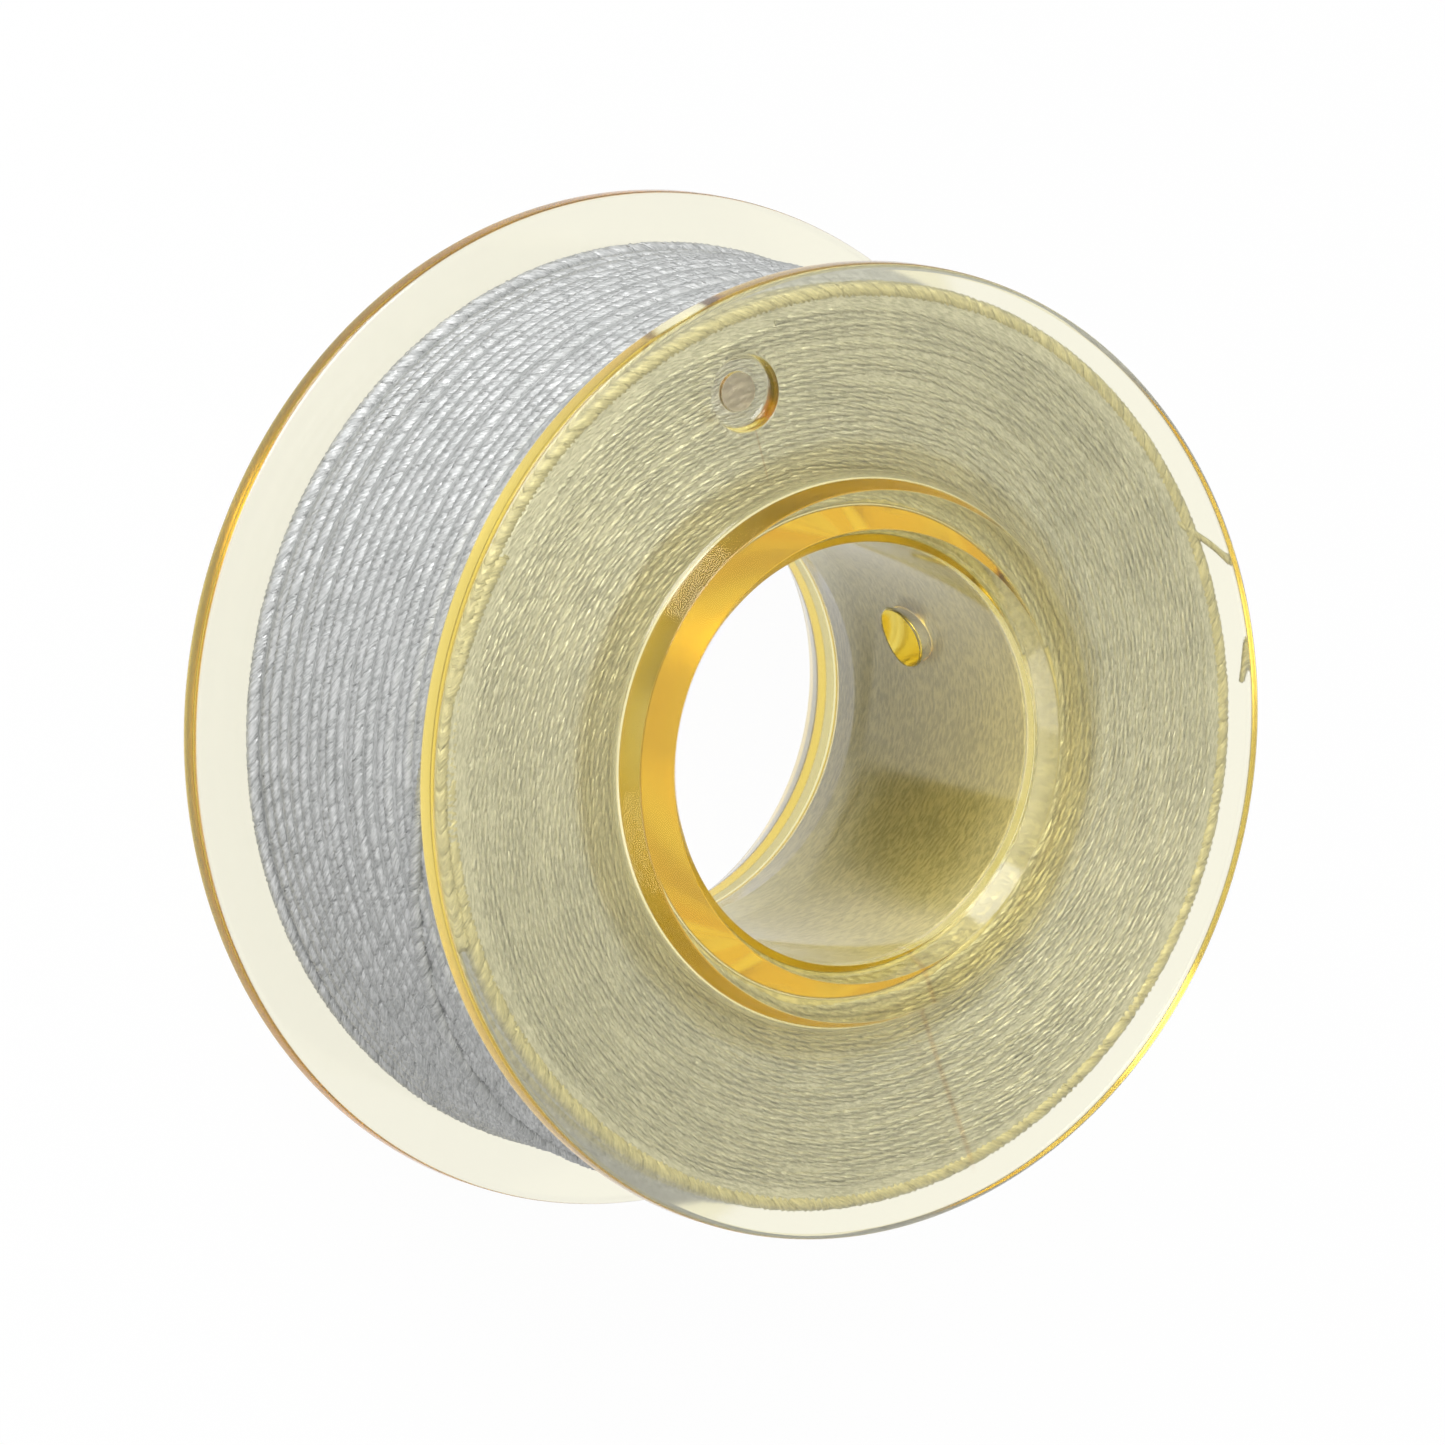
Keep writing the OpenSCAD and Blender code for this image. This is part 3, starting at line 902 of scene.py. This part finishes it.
def silky_thread(tree, finishes, tuft_width, tuft_length, relief, spread, metallic, tint=WHITE,
                 hub_shade=None, flange_shade=None):
    """Filament thread: fine fibres run along each ply as bump and as light and dark grey, and
    each stretch is a little lighter or darker than the next. The dark grey lies in the bump's
    grooves, so it is partly painted shade. Tuft sizes and relief are in mm. Both greys can be
    multiplied by a colour that stands for thick plastic round the thread, a painted shade.
    Just under the upper flange, or close to the hub in the upper half, the colour can be
    multiplied by a painted shade as well."""
    coordinates = tree.node("TexCoord")
    place = coordinates.outputs["Object"]
    turned = tree.node("Mapping", {"Vector": coordinates.outputs["UV"],
                                   "Scale": (PLY_GIRTH, TWIST_LENGTH, 1.0),
                                   "Rotation": (0, 0, -FIBRE_SLANT)})
    stretched = tree.node("Mapping", {"Vector": turned.outputs[0],
                                      "Scale": (1 / tuft_width, 1 / tuft_length, 1.0)})
    fibres = tree.noise(stretched.outputs[0], 1.0, 2.0, Roughness=FIBRE_ROUGHNESS,
                        Distortion=FIBRE_DISTORTION)
    patches = tree.noise(place, PATCH_SCALE, 2.0)
    # Fibre noise sets both the bump and the grey, so the grooves come out darker: painted shade,
    # mixed with random patches of tone.
    shade = tree.maths("ADD", tree.product(fibres, FIBRE_SHARE),
                       tree.product(patches, 1 - FIBRE_SHARE))
    # Both greys are multiplied by a colour that, on the hub thread, is a painted shade.
    dark, light = (opaque(np.multiply(colour, tint))
                   for colour in (finishes.thread_dark, finishes.thread_light))
    colour = tree.blend(tree.ramp(shade, 0.5 - spread, 0.5 + spread), dark, light)
    x, y, z = tree.parts(place)
    # Painted shade: yellower and darker just under the upper flange, for light that comes through
    # it.
    if flange_shade:
        near = tree.span(z, *PAINTED_FLANGE_SHADE_Z)
        colour = tree.blend(near, colour, opaque(flange_shade), blend_type="MULTIPLY")
    # Painted shade: darker and yellower close to the hub in the upper half.
    if hub_shade:
        near = tree.product(tree.span(tree.distance(x, y), *PAINTED_HUB_SHADE_R),
                            tree.maths("GREATER_THAN", z, TOP_Z / 2))
        colour = tree.blend(near, colour, opaque(hub_shade), blend_type="MULTIPLY")
    fibre = tree.node("BsdfPrincipled", {
        "Base Color": colour, "Specular IOR Level": THREAD_SPECULAR, "Metallic": metallic,
        "Roughness": tree.ramp(fibres, *SHINY_FIBRES, DULL_ROUGHNESS, finishes.thread_roughness),
        "Normal": tree.bump(relief * MM, fibres)})
    tree.finish(Surface=fibre)


def open_thread():
    """The thread where it lies open: tufts of fibres 0.05 mm wide, with a silky gloss. Just
    under the upper flange a painted yellow shade darkens its colour.
    """
    return material_once("grey_silky_thread", silky_thread, tuft_width=0.046, tuft_length=0.22,
                         relief=0.03, spread=0.12, metallic=0.25, flange_shade=(1.0, 0.94, 0.68))


def pressed_thread():
    """The thread where it is pressed against plastic: finer tufts, with less gloss, and a
    painted shade that darkens and yellows it close to the hub under the upper flange.
    """
    return material_once("grey_pressed_thread", silky_thread, tuft_width=0.04, tuft_length=0.2,
                         relief=0.03, spread=0.1, metallic=0.55, hub_shade=(0.88, 0.84, 0.68))


def hub_thread():
    """The thread against the hub's wall, its colour darkened and yellowed by a painted shade
    that stands for the thick plastic round it.
    """
    return material_once("grey_hub_thread", silky_thread, tuft_width=0.07, tuft_length=0.26,
                         relief=0.04, spread=0.07, metallic=0.1, tint=(1.0, 0.93, 0.66))


# Operators: one for each piece or group of like pieces ------------------------------------

LAYER_SEED, UPPER_FACE_SEED, LOWER_FACE_SEED = 3, 21, 31
STRAY_SCALE = 0.4               # of the loose ply, against the whole thread

# Places along the crossing turn and the loose ply: degrees about the bore, and mm. The crossing
# turn's first two places are against the upper flange, and its ends sink in the layer.
CROSSING_ANGLES = (130, 148, 164, 190, 215, 245, 275)
CROSSING_HEIGHTS = (8.1, 6.55, 5.3, 4.6, 4.3)
CROSSING_DEPTH = 0.06 * MM      # of its centre under the winding's crowns
CROSSING_END_DEPTH = 0.6        # of its ends under them, in thread widths
STRAY_ANGLES = (9.0, 5.1, 0.7, -3.6, -6.5, -9.1, -13.2, -16.8)
STRAY_RADII = (9.1, 9.35, 9.86, 10.27, 10.34, 10.26, 10.12, 10.02)
STRAY_HEIGHTS = (8.7, 8.88, 8.9, 8.9, 8.9, 8.88, 8.86, 8.8)


class BOBBIN_OT_mould(bpy.types.Operator):
    """Make the clear moulded bobbin"""
    bl_idname = "bobbin.mould"
    bl_label = "Mould bobbin"

    def execute(self, context):
        material = material_once("clear_straw_plastic", clear_plastic)
        put_piece("bobbin_moulding", bobbin_mesh(settings()[0]), material,
                  ["bobbin"])
        return {"FINISHED"}


class BOBBIN_OT_wind_outer_layer(bpy.types.Operator):
    """Wind the outer layer, each ply as its own piece"""
    bl_idname = "bobbin.wind_outer_layer"
    bl_label = "Wind outer layer"

    def execute(self, context):
        sizes = settings()[1]
        line = layer_line(WINDING_R - sizes.thread_d / 2, sizes, LAYER_SEED)
        for number, phase in enumerate(BOTH_PLIES):
            put_plies(f"outer_layer_ply_{number + 1}", line, radial(line), whole_thread(sizes),
                      open_thread(), ["thread_outer_layer"], [phase])
        return {"FINISHED"}


class BOBBIN_OT_wind_hub_layer(bpy.types.Operator):
    """Wind the first layer, which shows through the hub's wall"""
    bl_idname = "bobbin.wind_hub_layer"
    bl_label = "Wind hub layer"

    def execute(self, context):
        bobbin, sizes, _, _ = settings()
        mesh = sleeve_mesh("hub_layer", bobbin, sizes)
        put_piece("hub_layer", mesh, hub_thread(), ["thread_inner_layers"])
        return {"FINISHED"}


class BOBBIN_OT_wind_face_coils(bpy.types.Operator):
    """Wind the coils that show through each flange"""
    bl_idname = "bobbin.wind_face_coils"
    bl_label = "Wind face coils"

    def execute(self, context):
        bobbin, sizes, _, _ = settings()
        for side, face_z, facing, fillet, seed in (
                ("upper", UPPER_INNER_Z, 1, bobbin.upper_fillet, UPPER_FACE_SEED),
                ("lower", LOWER_INNER_Z, -1, bobbin.lower_fillet, LOWER_FACE_SEED)):
            line, out = face_line(face_z, facing, fillet, sizes, seed)
            half = len(line) // 2
            for part, rows in (("inner", slice(0, half + 1)), ("outer", slice(half, None))):
                put_plies(f"{side}_face_coils_{part}", line[rows], out[rows],
                          edge_on_thread(), pressed_thread(), ["thread_inner_layers"])
        return {"FINISHED"}


class BOBBIN_OT_fill_winding(bpy.types.Operator):
    """Fill the winding behind the drawn layers"""
    bl_idname = "bobbin.fill_winding"
    bl_label = "Fill winding"

    def execute(self, context):
        bobbin, sizes, _, _ = settings()
        mesh = core_mesh("winding_core", bobbin, sizes)
        put_piece("winding_core", mesh, pressed_thread(), ["thread_inner_layers"])
        return {"FINISHED"}


class BOBBIN_OT_lay_loose_thread(bpy.types.Operator):
    """Lay the turn that crosses the others, and the fine ply that has come loose"""
    bl_idname = "bobbin.lay_loose_thread"
    bl_label = "Lay loose thread"

    def execute(self, context):
        sizes = settings()[1]
        step = sizes.twist / sizes.rings_per_twist
        high = UPPER_INNER_Z - sizes.thread_d / 2 - sizes.air_gap
        heights = np.concatenate([[high, high], np.multiply(CROSSING_HEIGHTS, MM)])
        radii = np.full(len(heights), WINDING_R - CROSSING_DEPTH)
        radii[[0, -1]] = WINDING_R - sizes.thread_d * CROSSING_END_DEPTH
        line = eased_path(np.radians(CROSSING_ANGLES), radii, heights, step)
        put_plies("crossing_turn", line, radial(line), whole_thread(sizes), open_thread())
        line = eased_path(np.radians(STRAY_ANGLES), np.multiply(STRAY_RADII, MM),
                          np.multiply(STRAY_HEIGHTS, MM), step * STRAY_SCALE)
        put_plies("stray_ply", line, radial(line), whole_thread(sizes, STRAY_SCALE),
                  open_thread())
        return {"FINISHED"}


class BOBBIN_OT_set_stage(bpy.types.Operator):
    """Set the floor, the light and the camera"""
    bl_idname = "bobbin.set_stage"
    bl_label = "Set stage"

    def execute(self, context):
        stage = settings()[3]
        set_floor()
        set_painted_shadow_card()
        set_world(stage)
        set_lamps(stage)
        set_camera(stage)
        set_light_paths(context.scene)
        return {"FINISHED"}


# The stage ------------------------------------------------------------------------------

VIEW_TILT = math.radians(33.65)   # of the bore's axis away from the camera's line
VIEW_LEAN = math.radians(13.66)   # of that tilt, off the picture's level
VIEW_TURN = math.radians(-25)     # of the bobbin about its bore, away from the gate mark at top
VIEW_ASIDE = (0.263, 0.062)       # of the flange's centre, right and down, in flange radii
SENSOR_WIDTH = 36                 # mm
CLIP_START = 0.01                 # metres from the camera
FLOOR_HALF = 0.4                  # metres, half the floor's side
FLOOR_GAP = 0.03 * MM             # of air under the lower ring's face
FLOOR_ALBEDOS = (0.3, 0.85)       # for light that isn't seen directly, and that is
FLOOR_GLOW = 0.975                # share of plain white in the floor as it is seen
# Corners, fade and grey of the card that paints a dark reflection into the bore's wall
CARD_CORNERS = ((-3.0, 0.97), (3.6, -0.83), (3.6, 3.6), (-1.0, 3.6))    # mm, right and up
CARD_FADE = (1.6 * MM, 3.4 * MM)  # where the card starts to fade, and where it is gone
CARD_GREY = (0.02, 0.02, 0.02)
LAMP_DISTANCE = 0.25              # metres from the middle of the bobbin
PLASTIC_BOUNCES = 32


def turned_axes():
    """The flange's right and up in the picture, and the bore's axis, in the object's frame."""
    cos, sin = math.cos(VIEW_TURN), math.sin(VIEW_TURN)
    return np.array([[cos, sin, 0], [-sin, cos, 0], [0, 0, 1]])


def view_axes():
    """The camera's right, down and forward as rows, in the object's frame.

    The bore's axis is tilted off the camera's line by VIEW_TILT toward VIEW_LEAN; the flange's
    up is the picture's up made square to it; and the bobbin is turned about the bore.
    """
    bore = np.array([math.sin(VIEW_TILT) * math.cos(VIEW_LEAN),
                     math.sin(VIEW_TILT) * math.sin(VIEW_LEAN), -math.cos(VIEW_TILT)])
    up = square_to(np.array([0.0, -1.0, 0.0]), bore)
    return np.stack([np.cross(up, bore), up, bore], 1) @ turned_axes()


def set_camera(stage):
    """The camera, at its distance from the upper flange's centre, nearly square to it."""
    right, down, forward = view_axes()
    flange = np.array([0, 0, UPPER_INNER_Z + bpy.context.scene.bobbin_sizes.upper_flange_t])
    aside = np.multiply(VIEW_ASIDE, UPPER_R)
    place = flange - aside[0] * right - aside[1] * down - stage.camera_distance * forward
    data = bpy.data.cameras.new("camera")
    data.sensor_width = SENSOR_WIDTH
    data.lens = stage.focal_length
    data.clip_start = CLIP_START
    camera = put_object("camera", data)
    camera.matrix_world = Matrix([*np.column_stack([right, -down, -forward, place]).tolist(),
                                  [0, 0, 0, 1]])
    bpy.context.scene.camera = camera


def seen_directly(tree):
    """1 for a ray from the camera, off a gloss or through the plastic, and 0 for other light."""
    ray = tree.node("LightPath").outputs
    direct = tree.maths("MAXIMUM", ray["Is Camera Ray"], ray["Is Glossy Ray"])
    return tree.maths("MAXIMUM", direct, ray["Is Transmission Ray"])


def put_sheet(name, corners, material):
    """A flat sheet of the stage between four corners."""
    sheet = put_object(name, put_mesh(name, corners, [[0, 1, 2, 3]]), material)
    return sheet


def set_floor():
    """A white floor, 0.8 m square, that shows the object's shadow faintly."""
    material = bpy.data.materials.new("white_floor")
    tree = Tree(material)
    seen = seen_directly(tree)
    matt = tree.node("BsdfDiffuse", {"Color": tree.ramp(seen, 0.0, 1.0, *FLOOR_ALBEDOS)})
    white = tree.node("Emission", {"Color": opaque(WHITE), "Strength": 1.0})
    tree.finish(Surface=tree.surface(tree.product(seen, FLOOR_GLOW), matt, white))
    square = np.array([[-1, -1], [1, -1], [1, 1], [-1, 1]]) * FLOOR_HALF
    put_sheet("floor", np.column_stack([square, np.full(4, -FLOOR_GAP)]), material)


def set_painted_shadow_card():
    """A dark card behind the bore, which only reflections and refractions see: a painted dark
    reflection, standing for the shaded ground that the wall would reflect, which takes the
    sheen off the lower right of the bore's wall. Toward its right end it fades."""
    right, up, _ = turned_axes()
    material = bpy.data.materials.new("painted_shadow_card")
    tree = Tree(material)
    x, y, _ = tree.parts(tree.node("TexCoord").outputs["Object"])
    along = tree.maths("ADD", tree.product(x, right[0]), tree.product(y, right[1]))
    fade = tree.ramp(along, *CARD_FADE, interpolation_type="SMOOTHSTEP")
    dark = tree.node("BsdfDiffuse", {"Color": opaque(CARD_GREY)})
    tree.finish(Surface=tree.surface(fade, dark, tree.node("BsdfTransparent")))
    corners = np.array(CARD_CORNERS) * MM @ [right, up] + [0, 0, -FLOOR_GAP / 2]
    card = put_sheet("painted_shadow_card", corners, material)
    card.visible_camera = card.visible_diffuse = False
    card.visible_shadow = card.visible_volume_scatter = False


def set_world(stage):
    """A white world that lights evenly, and shows white to what looks at it directly."""
    world = bpy.data.worlds.new("white_room")
    bpy.context.scene.world = world
    tree = Tree(world)
    strength = tree.ramp(seen_directly(tree), 0.0, 1.0, stage.world_light, 1.0)
    light = tree.node("Background", {"Color": opaque(WHITE), "Strength": strength})
    tree.finish("World", Surface=light)


def add_lamp(name, power, toward, size, colour=WHITE):
    """A round soft lamp, size metres across, toward a direction seen from the camera."""
    ray = unit(toward @ view_axes())
    data = bpy.data.lights.new(name, "AREA")
    data.shape = "DISK"
    data.size = size
    data.energy = power
    data.color = colour
    lamp = put_object(name, data)
    lamp.location = ray * LAMP_DISTANCE + [0, 0, TOP_Z / 2]
    lamp.rotation_euler = Vector(-ray).to_track_quat("-Z", "Y").to_euler()
    lamp.visible_camera = False


def set_lamps(stage):
    """A soft key over the upper flange, a side lamp from the upper left, and a weak fill from
    the lower left, which mostly lights the winding."""
    add_lamp("key_lamp", stage.key_power, toward=(0.2247, -0.4531, -0.8627), size=0.16)
    add_lamp("side_lamp", stage.side_power, toward=(-0.3, -0.8, -0.62), size=0.12,
             colour=(0.95, 0.975, 1.0))
    add_lamp("fill_lamp", stage.fill_power, toward=(-0.5, 0.6, -0.7), size=0.16)


def set_light_paths(scene):
    """Enough bounces for light that runs inside the plastic."""
    scene.cycles.max_bounces = PLASTIC_BOUNCES
    scene.cycles.transmission_bounces = PLASTIC_BOUNCES
    scene.cycles.glossy_bounces = PLASTIC_BOUNCES // 2
    scene.view_settings.view_transform = "Standard"


# The add-on -----------------------------------------------------------------------------

STEPS = (BOBBIN_OT_mould, BOBBIN_OT_wind_outer_layer, BOBBIN_OT_wind_hub_layer,
         BOBBIN_OT_wind_face_coils, BOBBIN_OT_fill_winding, BOBBIN_OT_lay_loose_thread,
         BOBBIN_OT_set_stage)


class BOBBIN_PT_panel(bpy.types.Panel):
    """Lists the steps that make the wound bobbin"""
    bl_label = "Wound Bobbin"
    bl_idname = "BOBBIN_PT_panel"
    bl_space_type = "VIEW_3D"
    bl_region_type = "UI"
    bl_category = "Bobbin"

    def draw(self, context):
        for step in STEPS:
            self.layout.operator(step.bl_idname)


GROUPS = {"bobbin_sizes": BobbinSizes, "thread_sizes": ThreadSizes,
          "bobbin_finishes": Finishes, "bobbin_stage": StageSettings}
CLASSES = (*GROUPS.values(), *STEPS, BOBBIN_PT_panel)


def register():
    for part in CLASSES:
        bpy.utils.register_class(part)
    for name, group in GROUPS.items():
        setattr(bpy.types.Scene, name, PointerProperty(type=group))


def unregister():
    for name in GROUPS:
        delattr(bpy.types.Scene, name)
    for part in reversed(CLASSES):
        bpy.utils.unregister_class(part)


def main():
    register()
    bpy.ops.bobbin.mould()
    bpy.ops.bobbin.wind_outer_layer()
    bpy.ops.bobbin.wind_hub_layer()
    bpy.ops.bobbin.wind_face_coils()
    bpy.ops.bobbin.fill_winding()
    bpy.ops.bobbin.lay_loose_thread()
    bpy.ops.bobbin.set_stage()


if __name__ == "__main__":
    main()
